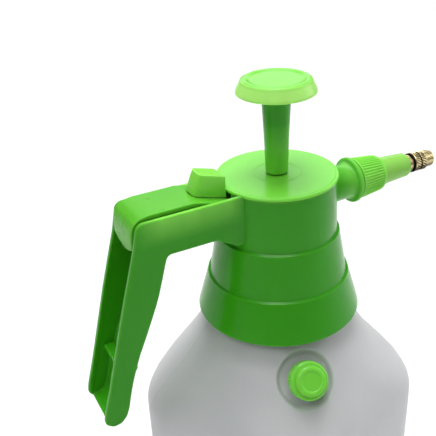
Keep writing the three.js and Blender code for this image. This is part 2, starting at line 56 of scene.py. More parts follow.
# ------------------------------------------------------------------ profiles and solids
def rounded(points, fillet=0.35, steps=4, closed=True):
    """Corners (a, b) or (a, b, radius) of an outline, each corner turned into an arc."""
    pts = [tuple(p) if len(p) == 3 else (p[0], p[1], fillet) for p in points]
    out, n = [], len(pts)
    for i, (x, y, f) in enumerate(pts):
        if (not closed and i in (0, n - 1)) or f <= 0:
            out.append((x, y))
            continue
        b = np.array((x, y), float)
        u = np.array(pts[i - 1][:2], float) - b
        v = np.array(pts[(i + 1) % n][:2], float) - b
        lu, lv = np.linalg.norm(u), np.linalg.norm(v)
        if lu < 1e-9 or lv < 1e-9:
            out.append((x, y))
            continue
        u, v = u / lu, v / lv
        ang = math.acos(max(-1.0, min(1.0, float(u @ v))))
        if ang > math.pi - 0.02:
            out.append((x, y))
            continue
        t = min(f / math.tan(ang / 2), 0.46 * lu, 0.46 * lv)
        r = t * math.tan(ang / 2)
        c = b + (u + v) / np.linalg.norm(u + v) * (r / math.sin(ang / 2))
        p0, p1 = b + u * t - c, b + v * t - c
        a0, a1 = math.atan2(p0[1], p0[0]), math.atan2(p1[1], p1[0])
        d = (a1 - a0 + math.pi) % (2 * math.pi) - math.pi
        k = max(1, min(steps, int(math.ceil(abs(d) / rad(12)))))
        out += [
            (c[0] + r * math.cos(a0 + d * j / k), c[1] + r * math.sin(a0 + d * j / k))
            for j in range(k + 1)
        ]
    return out


def divided(points, longest, closed=True):
    """The same outline with no edge longer than longest."""
    out, n = [], len(points)
    for i in range(n if closed else n - 1):
        a, b = np.array(points[i], float), np.array(points[(i + 1) % n], float)
        k = max(1, int(math.ceil(np.linalg.norm(b - a) / longest)))
        out += [tuple(a + (b - a) * j / k) for j in range(k)]
    if not closed:
        out.append(tuple(points[-1]))
    return out


def turned(profile, seg=144, fillet=0.35, steps=4, longest=0.0, warp=None, phase=0.0):
    """Vertices and faces of a profile of (radius, height) turned about the Z axis. It starts and ends on the axis, or closes on itself."""
    closed = not (profile[0][0] < 1e-9 and profile[-1][0] < 1e-9)
    pts = rounded(profile, fillet, steps, closed)
    if longest:
        pts = divided(pts, longest, closed)
    clean = [pts[0]]
    for p in pts[1:]:
        if math.hypot(p[0] - clean[-1][0], p[1] - clean[-1][1]) > 1e-4:
            clean.append(p)
    if closed and math.hypot(clean[0][0] - clean[-1][0], clean[0][1] - clean[-1][1]) < 1e-4:
        clean.pop()
    ang = phase + np.arange(seg) * 2 * math.pi / seg
    verts, rings = [], []
    for r, h in clean:
        if r < 1e-6:
            rings.append([len(verts)])
            verts.append((0.0, 0.0, h))
            continue
        rr, hh = np.full(seg, float(r)), np.full(seg, float(h))
        if warp is not None:
            rr, hh = warp(rr, hh, ang)
        rings.append(list(range(len(verts), len(verts) + seg)))
        verts += list(zip(rr * np.cos(ang), rr * np.sin(ang), hh))
    faces, m = [], len(rings)
    for i in range(m if closed else m - 1):
        a, b = rings[i], rings[(i + 1) % m]
        for j in range(seg):
            k = (j + 1) % seg
            if len(a) == 1 and len(b) == 1:
                continue
            if len(a) == 1:
                faces.append((a[0], b[k], b[j]))
            elif len(b) == 1:
                faces.append((a[j], a[k], b[0]))
            else:
                faces.append((a[j], a[k], b[k], b[j]))
    return np.array(verts, float), faces


def about_x(made):
    """Turns a shape made about Z so that its axis is the spray axis and its height runs along +X."""
    v, f = made
    return np.stack([v[:, 2], v[:, 0], v[:, 1] + SPOUT_H], 1), f


def moved(made, x=0.0, y=0.0, h=0.0):
    return made[0] + np.array([x, y, h]), made[1]


def prism(outline, y0, y1):
    """Outline of (x, height) pairs, extruded from y0 to y1."""
    n = len(outline)
    v = [(x, y0, h) for x, h in outline] + [(x, y1, h) for x, h in outline]
    f = [tuple(range(n)), tuple(range(2 * n - 1, n - 1, -1))]
    f += [(i, (i + 1) % n, n + (i + 1) % n, n + i) for i in range(n)]
    return np.array(v, float), f


def block(x0, x1, y0, y1, h0, h1):
    return prism([(x0, h0), (x1, h0), (x1, h1), (x0, h1)], y0, y1)


def bar(r, a, b, seg=48, ease=0.0):
    """Round bar from a to b, its ends eased by a small arc."""
    a, b = np.array(a, float), np.array(b, float)
    length = float(np.linalg.norm(b - a))
    v, f = turned([(0, 0), (r, 0), (r, length), (0, length)], seg, ease)
    q = Vector((0, 0, 1)).rotation_difference(Vector((b - a) / length)).to_matrix()
    return v @ np.array(q).T + a, f


def mesh_object(name, made):
    v, f = made
    me = bpy.data.meshes.new(name)
    world = (np.asarray(v, float) + np.array([0, 0, CAP])) * 0.001
    me.from_pydata([tuple(p) for p in world], [], [tuple(q) for q in f])
    bm = bmesh.new()
    bm.from_mesh(me)
    bmesh.ops.remove_doubles(bm, verts=bm.verts, dist=1e-6)
    bmesh.ops.recalc_face_normals(bm, faces=bm.faces)
    bm.to_mesh(me)
    bm.free()
    o = bpy.data.objects.new(name, me)
    bpy.context.scene.collection.objects.link(o)
    return o


def baked(o):
    """Applies the modifiers of o."""
    dg = bpy.context.evaluated_depsgraph_get()
    dg.update()
    me = bpy.data.meshes.new_from_object(o.evaluated_get(dg))
    o.modifiers.clear()
    old, o.data = o.data, me
    bpy.data.meshes.remove(old)
    return o


def combine(o, made, how, solver="MANIFOLD"):
    """Cuts made out of o (DIFFERENCE), joins it to o (UNION) or keeps what both hold (INTERSECT)."""
    other = made if isinstance(made, bpy.types.Object) else mesh_object("cutter", made)
    m = o.modifiers.new("b", "BOOLEAN")
    m.operation, m.object = how, other
    try:
        m.solver = solver
    except TypeError:
        m.solver = "EXACT"
    faces = len(o.data.polygons)
    baked(o)
    if not len(o.data.polygons):
        raise RuntimeError(f"{o.name}: {how} left nothing of {faces} faces")
    me = other.data
    bpy.data.objects.remove(other)
    bpy.data.meshes.remove(me)
    return o


def bevelled(o, width, seg=3, angle=28):
    m = o.modifiers.new("e", "BEVEL")
    m.width, m.segments = width * 0.001, seg
    m.limit_method, m.angle_limit = "ANGLE", rad(angle)
    m.use_clamp_overlap = False
    m.miter_outer = "MITER_ARC"
    return baked(o)


def eased(o, width, seg, angle, above):
    """Rounds only the sharp edges whose two ends are higher than above."""
    me = o.data
    bm = bmesh.new()
    bm.from_mesh(me)
    bm.edges.ensure_lookup_table()
    least = (CAP + above) * 0.001
    weight = [
        1.0 if len(e.link_faces) == 2 and e.calc_face_angle(0) > rad(angle) and min(v.co.z for v in e.verts) > least else 0.0
        for e in bm.edges
    ]
    bm.free()
    me.attributes.new("bevel_weight_edge", "FLOAT", "EDGE").data.foreach_set("value", weight)
    m = o.modifiers.new("w", "BEVEL")
    m.width, m.segments, m.limit_method = width * 0.001, seg, "WEIGHT"
    m.use_clamp_overlap = True
    m.miter_outer = "MITER_ARC"
    return baked(o)


def shaded(o, angle=32):
    me = o.data
    bm = bmesh.new()
    bm.from_mesh(me)
    bmesh.ops.remove_doubles(bm, verts=bm.verts, dist=2e-6)
    bmesh.ops.dissolve_degenerate(bm, edges=bm.edges, dist=1e-6)
    bm.to_mesh(me)
    bm.free()
    me.polygons.foreach_set("use_smooth", [True] * len(me.polygons))
    me.set_sharp_from_angle(angle=rad(angle))
    m = o.modifiers.new("weighted", "WEIGHTED_NORMAL")
    m.keep_sharp = True
    m.weight = 60
    return o


# ------------------------------------------------------------------ materials
class Look:
    """Node graph of one procedural material."""

    def __init__(self, name):
        self.mat = bpy.data.materials.new(name)
        self.mat.use_nodes = True
        self.t = self.mat.node_tree
        self.t.nodes.clear()
        self.out = self.t.nodes.new("ShaderNodeOutputMaterial")
        self.b = self.t.nodes.new("ShaderNodeBsdfPrincipled")
        self.link(self.b.outputs[0], self.out.inputs[0])
        self.co = self.t.nodes.new("ShaderNodeTexCoord").outputs["Object"]
        self.height = None

    def link(self, a, b):
        self.t.links.new(a, b)

    def set(self, **values):
        for k, v in values.items():
            self.b.inputs[k.replace("_", " ")].default_value = v
        return self

    def from_spray_axis(self):
        """Distance of a point from the spray axis, in millimetres."""
        n = self.t.nodes.new("ShaderNodeSeparateXYZ")
        self.link(self.co, n.inputs[0])
        up = self.math("SUBTRACT", n.outputs[2], (CAP + SPOUT_H) * 0.001)
        square = self.math("ADD", self.math("MULTIPLY", n.outputs[1], n.outputs[1]), self.math("MULTIPLY", up, up))
        return self.math("MULTIPLY", self.math("SQRT", square, 0.0), 1000.0), self.math("MULTIPLY", n.outputs[0], 1000.0)

    def along(self, axis):
        """One coordinate of a point of the piece, in millimetres."""
        n = self.t.nodes.new("ShaderNodeSeparateXYZ")
        self.link(self.co, n.inputs[0])
        return self.math("MULTIPLY", n.outputs[axis], 1000.0)

    def scaled(self, scale):
        n = self.t.nodes.new("ShaderNodeMapping")
        n.inputs["Scale"].default_value = scale
        self.link(self.co, n.inputs["Vector"])
        return n.outputs[0]

    def noise(self, scale, detail=2.0, rough=0.5, stretch=None, warp=0.0):
        n = self.t.nodes.new("ShaderNodeTexNoise")
        n.inputs["Scale"].default_value = scale
        n.inputs["Detail"].default_value = detail
        n.inputs["Roughness"].default_value = rough
        n.inputs["Distortion"].default_value = warp
        self.link(self.scaled(stretch) if stretch else self.co, n.inputs["Vector"])
        return n.outputs[0]

    def remap(self, value, low, high, to0=0.0, to1=1.0):
        n = self.t.nodes.new("ShaderNodeMapRange")
        for i, x in enumerate((low, high, to0, to1)):
            n.inputs[i + 1].default_value = x
        n.clamp = True
        self.link(value, n.inputs[0])
        return n.outputs[0]

    def math(self, how, a, b):
        n = self.t.nodes.new("ShaderNodeMath")
        n.operation = how
        for i, x in enumerate((a, b)):
            if hasattr(x, "is_linked") or hasattr(x, "links"):
                self.link(x, n.inputs[i])
            else:
                n.inputs[i].default_value = x
        return n.outputs[0]

    def mix(self, factor, a, b):
        n = self.t.nodes.new("ShaderNodeMix")
        n.data_type = "RGBA"
        n.blend_type = "MIX"
        fac, ca, cb = n.inputs[0], n.inputs[6], n.inputs[7]
        if hasattr(factor, "links"):
            self.link(factor, fac)
        else:
            fac.default_value = factor
        for s, c in ((ca, a), (cb, b)):
            if hasattr(c, "links"):
                self.link(c, s)
            else:
                s.default_value = (*c, 1.0)
        return n.outputs[2]

    def corners(self, reach=1.2, low=0.97, high=0.62):
        """1 along the outer corners and thin rims, 0 on the flats: how much is near on the inside of the piece."""
        n = self.t.nodes.new("ShaderNodeAmbientOcclusion")
        n.inside, n.only_local, n.samples = True, True, 6
        n.inputs["Distance"].default_value = reach * 0.001
        return self.remap(n.outputs["AO"], low, high)

    def crevices(self, reach=1.0, low=0.85, high=0.35, local=True):
        """1 in grooves and gaps."""
        n = self.t.nodes.new("ShaderNodeAmbientOcclusion")
        n.inside, n.only_local, n.samples = False, local, 6
        n.inputs["Distance"].default_value = reach * 0.001
        return self.remap(n.outputs["AO"], low, high)

    def bump(self, value, strength, distance):
        n = self.t.nodes.new("ShaderNodeBump")
        n.inputs["Strength"].default_value = strength
        n.inputs["Distance"].default_value = distance
        self.link(value, n.inputs["Height"])
        if self.height is not None:
            self.link(self.height, n.inputs["Normal"])
        self.height = n.outputs[0]
        return self

    def done(self):
        if self.height is not None:
            self.link(self.height, self.b.inputs["Normal"])
        return self.mat


def scratches(look, size=1.0):
    """Fine handling marks: thin lines of stretched noise, along the height and along the length."""
    a = look.remap(look.noise(1.0, 2.0, 0.5, (1500.0 * size, 1500.0 * size, 45.0 * size)), 0.70, 0.76)
    b = look.remap(look.noise(1.0, 2.0, 0.5, (45.0 * size, 1500.0 * size, 1500.0 * size)), 0.70, 0.76)
    return look.math("MAXIMUM", a, b)


def green_plastic(name, base, deep, edge, rough=0.20, sss=0.30, depth=0.003, groove=0.45, shine=0.22, painted_light=None):
    k = Look(name)
    tone = k.remap(k.noise(18.0, 2.0), 0.30, 0.70)
    colour = k.mix(tone, base, deep)
    # painted light and shade, from the function given for it
    if painted_light:
        colour = painted_light(k, colour)
    flow = k.remap(k.noise(1.0, 2.0, 0.5, (55.0, 55.0, 9.0), 0.8), 0.45, 0.75, 0.0, 0.25)
    colour = k.mix(flow, colour, tuple(min(1.0, c * 1.06 + 0.002) for c in base))
    # painted light: outer corners and thin rims take the lighter edge colour, standing in for light glowing through
    # thin plastic and highlights on the edges
    colour = k.mix(k.math("MULTIPLY", k.corners(0.75), 0.6), colour, edge)
    # painted shade: grooves and the gaps between pieces are darkened towards the deep colour, by the groove amount
    colour = k.mix(k.math("MULTIPLY", k.crevices(1.3, 0.8, 0.3, False), groove), colour, tuple(c * 0.25 for c in deep))
    marks = scratches(k)
    colour = k.mix(k.math("MULTIPLY", marks, 0.035), colour, (0.45, 0.8, 0.32))
    k.link(colour, k.b.inputs["Base Color"])
    r = k.remap(k.noise(60.0, 4.0, 0.6), 0.3, 0.7, rough - 0.03, rough + 0.05)
    r = k.math("ADD", r, k.math("MULTIPLY", marks, 0.05))
    k.link(r, k.b.inputs["Roughness"])
    k.set(IOR=1.49, Subsurface_Weight=sss, Subsurface_Radius=(0.35, 1.0, 0.15), Subsurface_Scale=depth, Specular_IOR_Level=shine)
    k.b.inputs["Subsurface Anisotropy"].default_value = 0.3
    k.bump(k.noise(900.0, 2.0), 0.05, 0.00010)
    k.bump(k.noise(70.0, 1.0), 0.05, 0.00030)
    k.bump(marks, -0.03, 0.00003)
    return k.done()


def wall_painted_glow(k, colour):
    """Painted light: the arm's wall is painted lighter under its top edge, and the spout lighter, for the light thin
    walls let in from their edges.
    """
    x = k.along(0)
    below = k.remap(k.math("SUBTRACT", CAP - 0.7, k.along(2)), 13.0, 0.0)
    arm = k.math("MULTIPLY", below, k.math("MULTIPLY", k.remap(x, -25.5, -33.0), k.remap(x, -81.0, -67.0)))
    colour = k.mix(k.math("MULTIPLY", arm, 0.86), colour, (0.28, 0.80, 0.10))
    return k.mix(k.math("MULTIPLY", k.remap(x, 29.0, 40.0), 0.85), colour, (0.18, 0.64, 0.070))


def knob_painted_light_and_shade(k, colour):
    """Painted light and shade: the knob's thin flared skirt is painted paler, as light coming through it, and its thick
    shank is painted deeper towards the top, as shade under the knob.
    """
    h = k.math("SUBTRACT", k.along(2), CAP)
    x, y = k.along(0), k.along(1)
    r = k.math("SQRT", k.math("ADD", k.math("MULTIPLY", x, x), k.math("MULTIPLY", y, y)), 0.0)
    skirt_glow = k.math("MULTIPLY", k.remap(r, 15.6, 17.4), k.remap(h, 39.4, 40.4))
    colour = k.mix(k.math("MULTIPLY", skirt_glow, 0.85), colour, (0.52, 0.98, 0.24))
    shank_shade = k.math("MULTIPLY", k.remap(r, 10.5, 9.0), k.math("MULTIPLY", k.remap(h, 2.0, 27.0), k.remap(h, 42.0, 39.5)))
    return k.mix(k.math("MULTIPLY", shank_shade, 0.92), colour, (0.028, 0.300, 0.005))


def milky_plastic(name):
    k = Look(name)
    tone = k.remap(k.noise(9.0, 2.0), 0.3, 0.7)
    colour = k.mix(tone, (0.585, 0.590, 0.605), (0.555, 0.562, 0.580))
    streak = k.remap(k.noise(1.0, 3.0, 0.5, (70.0, 70.0, 6.0), 0.4), 0.5, 0.8, 0.0, 0.4)
    colour = k.mix(streak, colour, (0.62, 0.625, 0.635))
    marks = scratches(k, 0.6)
    colour = k.mix(k.math("MULTIPLY", marks, 0.2), colour, (0.75, 0.75, 0.75))
    k.link(colour, k.b.inputs["Base Color"])
    r = k.remap(k.noise(45.0, 4.0, 0.6), 0.3, 0.7, 0.38, 0.50)
    k.link(k.math("ADD", r, k.math("MULTIPLY", marks, 0.1)), k.b.inputs["Roughness"])
    k.set(IOR=1.53, Subsurface_Weight=0.45, Subsurface_Radius=(1.0, 1.0, 1.05), Subsurface_Scale=0.004)
    k.bump(k.noise(700.0, 3.0), 0.10, 0.00012)
    k.bump(k.noise(24.0, 1.0), 0.10, 0.0009)
    k.bump(marks, -0.1, 0.00006)
    return k.done()


def natural_plastic(name, base=(0.72, 0.745, 0.735), rough=0.38):
    k = Look(name)
    colour = k.mix(k.remap(k.noise(50.0, 3.0), 0.3, 0.7), base, tuple(c * 0.9 for c in base))
    k.link(colour, k.b.inputs["Base Color"])
    k.link(k.remap(k.noise(160.0, 3.0), 0.3, 0.7, rough - 0.05, rough + 0.08), k.b.inputs["Roughness"])
    k.set(IOR=1.5, Subsurface_Weight=0.4, Subsurface_Radius=(1.0, 1.0, 1.0), Subsurface_Scale=0.003)
    k.bump(k.noise(900.0, 2.0), 0.08, 0.0001)
    return k.done()


def clear_hose(name):
    k = Look(name)
    colour = k.mix(k.remap(k.noise(80.0, 2.0), 0.3, 0.7), (0.78, 0.82, 0.80), (0.68, 0.74, 0.72))
    k.link(colour, k.b.inputs["Base Color"])
    k.link(k.remap(k.noise(150.0, 2.0), 0.3, 0.7, 0.22, 0.34), k.b.inputs["Roughness"])
    k.set(IOR=1.5, Transmission_Weight=0.35, Subsurface_Weight=0.3, Subsurface_Radius=(1.0, 1.0, 1.0), Subsurface_Scale=0.002)
    k.bump(k.noise(1.0, 2.0, 0.5, (900.0, 900.0, 40.0)), 0.15, 0.00008)
    return k.done()


def rubber(name, worn=True):
    k = Look(name)
    colour = k.mix(k.remap(k.noise(300.0, 4.0), 0.35, 0.7), (0.005, 0.005, 0.006), (0.012, 0.012, 0.012))
    colour = k.mix(k.math("MULTIPLY", k.corners(0.5), 0.35 if worn else 0.0), colour, (0.05, 0.049, 0.047))
    k.link(colour, k.b.inputs["Base Color"])
    k.link(k.remap(k.noise(500.0, 3.0), 0.3, 0.7, 0.50, 0.68), k.b.inputs["Roughness"])
    k.set(IOR=1.5, Specular_IOR_Level=0.2 if worn else 0.05)
    k.bump(k.noise(2200.0, 3.0), 0.25, 0.00006)
    return k.done()


def brass(name, axis_x=True, cut=None, shade_in_hollows=0.7):
    k = Look(name)
    tone = k.remap(k.noise(90.0, 3.0, 0.5), 0.3, 0.72)
    colour = k.mix(tone, (0.94, 0.79, 0.43), (0.87, 0.70, 0.35))
    tarnish = k.remap(k.noise(900.0, 3.0, 0.6), 0.6, 0.85, 0.0, 0.3)
    colour = k.mix(tarnish, colour, (0.25, 0.19, 0.09))
    # painted highlight: outer corners and ridges are painted a pale gold
    colour = k.mix(k.math("MULTIPLY", k.corners(0.45, 0.95, 0.6), 0.7), colour, (0.97, 0.87, 0.58))
    if axis_x:
        # painted shade: the underside is painted a dark brown
        underside_shade = k.remap(k.math("SUBTRACT", k.along(2), CAP + SPOUT_H), 0.9, -1.6)
        colour = k.mix(k.math("MULTIPLY", underside_shade, 0.93), colour, (0.060, 0.044, 0.020))
    # painted shade: hollows found by occlusion are darkened, and made rougher too, by the given amount
    hollow = k.math("MULTIPLY", k.crevices(0.5, 0.7, 0.3), shade_in_hollows)
    if cut:
        # painted shade in the cuts below the outer surface, between two stations of the axis
        radius, along = k.from_spray_axis()
        inside = k.math("MULTIPLY", k.remap(along, cut[1] - 0.1, cut[1] + 0.1), k.remap(along, cut[2] + 0.1, cut[2] - 0.1))
        hollow = k.math("MAXIMUM", hollow, k.math("MULTIPLY", k.remap(radius, cut[0], cut[0] - 0.26), inside))
    # the painted shade of the hollows and cuts: a near-black brown
    colour = k.mix(k.math("MULTIPLY", hollow, 0.95), colour, (0.018, 0.012, 0.005))
    k.link(colour, k.b.inputs["Base Color"])
    r = k.remap(k.noise(420.0, 4.0, 0.6), 0.3, 0.7, 0.20, 0.34)
    k.link(k.math("ADD", r, k.math("MULTIPLY", hollow, 0.4)), k.b.inputs["Roughness"])
    k.set(Metallic=1.0, Anisotropic=0.35 if axis_x else 0.0)
    turning = k.noise(1.0, 2.0, 0.5, (5200.0, 60.0, 60.0) if axis_x else (60.0, 60.0, 5200.0))
    k.bump(turning, 0.22, 0.00004)
    k.bump(k.noise(1500.0, 3.0), 0.12, 0.00004)
    return k.done()


def steel(name):
    k = Look(name)
    colour = k.mix(k.remap(k.noise(220.0, 4.0), 0.3, 0.7), (0.62, 0.625, 0.63), (0.50, 0.505, 0.515))
    k.link(colour, k.b.inputs["Base Color"])
    k.link(k.remap(k.noise(300.0, 4.0), 0.3, 0.7, 0.20, 0.34), k.b.inputs["Roughness"])
    k.set(Metallic=1.0)
    k.bump(k.noise(1.0, 2.0, 0.5, (90.0, 90.0, 4200.0)), 0.2, 0.00004)
    return k.done()


BODY = green_plastic("green_body", (0.044, 0.360, 0.008), (0.038, 0.332, 0.006), (0.19, 0.62, 0.045))
HEAD = green_plastic("green_head", (0.044, 0.360, 0.008), (0.038, 0.332, 0.006), (0.19, 0.62, 0.045), painted_light=wall_painted_glow)
KNOB = green_plastic("green_knob", (0.205, 0.700, 0.066), (0.185, 0.668, 0.057), (0.38, 0.88, 0.14), groove=0.6, painted_light=knob_painted_light_and_shade)
# Painted light: TUBE, LOCK and LEVER are lighter copies of the two greens for the nozzle holder, lock slider and thumb
# lever, standing in for how brightly these pieces are lit
TUBE = green_plastic("green_tube", (0.290, 0.660, 0.115), (0.262, 0.620, 0.098), (0.42, 0.82, 0.22), groove=0.6)
LOCK = green_plastic("green_lock", (0.270, 0.790, 0.085), (0.250, 0.760, 0.076), (0.38, 0.88, 0.14), groove=0.6)
LEVER = green_plastic("green_lever", (0.120, 0.500, 0.034), (0.104, 0.470, 0.028), (0.28, 0.72, 0.09), rough=0.28, shine=0.12)
LIGHT = green_plastic("green_light", (0.205, 0.700, 0.066), (0.185, 0.668, 0.057), (0.38, 0.88, 0.14), groove=0.6)
MILK = milky_plastic("bottle_milky")
NATURAL = natural_plastic("natural_plastic")
HOSE = clear_hose("hose_plastic")
BLACK = rubber("rubber_black")
RING = rubber("rubber_ring", worn=False)
BRASS = brass("brass_turned", shade_in_hollows=0.15)
BRASS_TIP = brass("brass_knurled", cut=(5.16, 85.2, 91.75))
BRASS_STEM = brass("brass_stem", axis_x=False)
STEEL = steel("steel_bright")


def place(o, body, nodes, mat, angle=32):
    """The finished piece: its material, its body and the CAD nodes it stands for."""
    shaded(o, angle)
    o.data.materials.clear()
    o.data.materials.append(mat)
    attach(o, body)
    if nodes:
        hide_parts(*nodes)
    return o


# ------------------------------------------------------------------ bottle
TURN = 23.0
HALF = 63.0
RELIEF_AZ = rad(-104)
SLOPE = math.atan2(22.5, 15.2)
R_DIR = np.array([math.cos(RELIEF_AZ), math.sin(RELIEF_AZ), 0.0])
R_AXIS = R_DIR * math.sin(SLOPE) + np.array([0, 0, math.cos(SLOPE)])
R_FLOOR = R_DIR * 46.4 + np.array([0, 0, -92.0]) - 4.6 * R_AXIS


def smooth(t):
    u = np.clip(t, 0.0, 1.0)
    return u * u * (3 - 2 * u)


def section_radius(half, corner, angle):
    """Radius of a rounded square (half width, corner radius) at an angle."""
    a = np.mod(angle, math.pi / 2)
    a = np.where(a > math.pi / 4, math.pi / 2 - a, a)
    c = half - corner
    flat = half / np.cos(a)
    s = np.cos(a) + np.sin(a)
    inside = np.maximum(corner**2 - c**2 * (1 - np.sin(2 * a)), 0.0)
    return np.where(half * np.tan(a) <= c + 1e-9, flat, c * s + np.sqrt(inside))


def bottle_mesh():
    wall = 1.8
    line = rounded(
        [
            (26.6, -36.1, 0),
            (26.6, -63.5, 3.0),
            (28.2, -66.5, 12),
            (30.4, -70, 40),
            (38, -80.5, 60),
            (46, -92, 60),
            (53.2, -103, 60),
            (57.4, -110.5, 40),
            (60.6, -118, 40),
            (62.4, -126, 40),
            (HALF, -134, 40),
            (HALF, -250, 30),
            (61.6, -255.5, 14),
            (58.8, -259.8, 8),
            (54, -CAP, 6),
            (0, -CAP, 0),
        ],
        1.0,
        8,
        closed=False,
    )
    # rows of the mesh along the profile, close together on the thread, the pocket and the foot
    rows = []
    for (r0, h0), (r1, h1) in zip(line[:-1], line[1:]):
        length = math.hypot(r1 - r0, h1 - h0)
        mid = (h0 + h1) / 2
        k0 = 0
        n = max(1, int(math.ceil(length / 0.25)))
        for j in range(n):
            t = j / n
            rows.append((r0 + (r1 - r0) * t, h0 + (h1 - h0) * t))
    rows.append((0.0, -CAP))
    kept, last = [rows[0]], rows[0]
    for p in rows[1:-1]:
        h = p[1]
        if h > -56:
            step = 0.45
        elif h > -78:
            step = 1.0
        elif h > -107:
            step = 0.5
        elif h > -134:
            step = 1.6
        elif h > -248:
            step = 4.0
        elif p[0] > 53:
            step = 0.7
        else:
            step = 4.0
        if math.hypot(p[0] - last[0], p[1] - last[1]) >= step:
            kept.append(p)
            last = p
    kept = [p for p in kept if p[0] > 1.5]
    az = set(np.round(np.arange(-180, 180, 2.5), 3))
    az = {a for a in az if abs((a + 104 + 180) % 360 - 180) > 24}
    az |= set(np.round(-104 + np.arange(-24, 24.01, 0.4), 3))
    seams = [((-14 + 180) % 360) - 180, 166]
    for s in seams:
        az = {a for a in az if abs((a - s + 180) % 360 - 180) > 1.3}
        az |= {round(s + d, 3) for d in (-1.2, -0.7, -0.35, -0.15, 0, 0.15, 0.35, 0.7, 1.2)}
    az = np.array(sorted(az))
    ang = np.radians(az)
    n = len(ang)
    R = np.array([p[0] for p in kept])[:, None]
    H = np.array([p[1] for p in kept])[:, None]
    k = 1 - 0.46 * smooth((-H - 98) / 36)
    corner = np.minimum(R, np.maximum(1.0, R * k))
    sect = section_radius(R, corner, ang[None, :] - rad(TURN))
    rr = np.where(k > 0.999, R + 0 * sect, sect)
    grid = np.stack([rr * np.cos(ang), rr * np.sin(ang), H + 0 * rr], -1)

    def normals(g):
        du = np.roll(g, -1, 1) - np.roll(g, 1, 1)
        dv = np.gradient(g, axis=0)
        nn = np.cross(dv, du)
        nn /= np.linalg.norm(nn, axis=-1, keepdims=True) + 1e-12
        if (nn[5, :, :2] * g[5, :, :2]).sum() < 0:
            nn = -nn
        return nn

    nrm = normals(grid)
    nrm[0] = nrm[1] * 0 + np.stack([np.cos(ang), np.sin(ang), 0 * ang], -1)
    inner = grid - wall * nrm
    inner[0, :, 2] = grid[0, :, 2]

    def pocket(g, floor, r0, r1):
        d = g - R_FLOOR
        w = d @ R_AXIS
        q = np.linalg.norm(d - w[..., None] * R_AXIS, axis=-1)
        near = (w > -12) & (w < 20)
        share = np.where(near, smooth((q - r0) / (r1 - r0)), 1.0)
        drop = (w - floor) * (1 - share)
        return g - drop[..., None] * R_AXIS, q, near

    out2, q, near = pocket(grid, 0.0, 12.3, 15.2)
    in2, _, _ = pocket(inner, -wall, 14.2, 17.6)
    # thread on the neck and the two moulding seams
    ridge = np.zeros_like(rr)
    turn = np.mod(-ang / (2 * math.pi), 1.0)[None, :]
    for kk in (0, 1):
        s = turn + kk
        live = smooth(s / 0.06) * smooth((1.25 - s) / 0.06)
        d = np.abs(H - (-40 - 6 * s))
        ridge = np.maximum(ridge, 1.4 * np.clip(1 - (d / 1.35) ** 2, 0, 1) * np.where((s >= 0) & (s <= 1.25), live, 0))
    seam = np.zeros_like(ang)
    for s in seams:
        d = np.abs(np.mod(az - s + 180, 360) - 180)
        seam = np.maximum(seam, np.clip(1 - d / 0.45, 0, 1))
    body_only = smooth((-H - 68) / 6) * (R > 20)
    out2 = out2 + nrm * (np.maximum(ridge, 0.0) * (H > -60) + 0.12 * seam[None, :] * body_only)[..., None]
    lowest = -CAP
    out2[..., 2] = np.maximum(out2[..., 2], lowest)

    m = len(kept)
    verts = [out2.reshape(-1, 3), in2.reshape(-1, 3)]
    O = lambda i, j: i * n + (j % n)
    I = lambda i, j: m * n + i * n + (j % n)
    count = 2 * m * n
    hole = near & (q < 5.4)
    faces = []
    cut = np.zeros((m - 1, n), bool)
    for i in range(m - 1):
        for j in range(n):
            j2 = (j + 1) % n
            if hole[i, j] and hole[i + 1, j] and hole[i, j2] and hole[i + 1, j2]:
                cut[i, j] = True
                continue
            faces.append((O(i, j), O(i, j + 1), O(i + 1, j + 1), O(i + 1, j)))
            faces.append((I(i, j), I(i + 1, j), I(i + 1, j + 1), I(i, j + 1)))
    for i in range(m - 1):
        for j in range(n):
            if not cut[i, j]:
                continue
            for di, dj, a, b in (
                (-1, 0, (i, j), (i, j + 1)),
                (1, 0, (i + 1, j), (i + 1, j + 1)),
                (0, -1, (i, j), (i + 1, j)),
                (0, 1, (i, j + 1), (i + 1, j + 1)),
            ):
                if not cut[(i + di) % (m - 1), (j + dj) % n]:
                    faces.append((O(*a), O(*b), I(*b), I(*a)))
    # lip of the mouth
    lip = [(26.45, -35.68), (26.1, -35.5), (25.3, -35.5), (24.95, -35.68)]
    rings = [[O(0, j) for j in range(n)]]
    for r, h in lip:
        verts.append(np.stack([r * np.cos(ang), r * np.sin(ang), 0 * ang + h], -1))
        rings.append(list(range(count, count + n)))
        count += n
    rings.append([I(0, j) for j in range(n)])
    for a, b in zip(rings[:-1], rings[1:]):
        faces += [(a[j], b[j], b[(j + 1) % n], a[(j + 1) % n]) for j in range(n)]
    # middle of the base, outside and inside
    verts.append(np.array([[0, 0, -CAP], [0, 0, -CAP + wall]]))
    in_last = m - 1
    for j in range(n):
        faces.append((O(in_last, j), O(in_last, j + 1), count))
        faces.append((I(in_last, j + 1), I(in_last, j), count + 1))
    return np.concatenate(verts), faces


bottle = mesh_object("bottle", bottle_mesh())
place(bottle, "tank", ["tank_bottle"], MILK, 50)


# ------------------------------------------------------------------ relief valve, on its own tilted axis
def on_relief(made):
    q = np.array(Vector((0, 0, 1)).rotation_difference(Vector(R_AXIS)).to_matrix())
    return made[0] @ q.T + R_FLOOR, made[1]


place(
    mesh_object(
        "relief_valve_body",
        on_relief(turned([(1.6, -9), (4.9, -9), (4.9, 1.5), (8, 1.5, 0.3), (8, 3, 0.5), (5.4, 3, 0.5), (5.4, 7.6), (3.9, 7.6), (3.9, -7.4), (1.6, -7.4)], 96, 0.2)),
    ),
    "tank", ["relief_body"], BODY,
)
place(
    mesh_object("relief_valve_cap", on_relief(turned([(1.7, 5.4), (3.6, 5.4), (3.6, 7.9), (5.2, 7.9), (5.2, 8.8), (1.7, 8.8)], 72, 0.2))),
    "tank", ["relief_cap"], BODY,
)


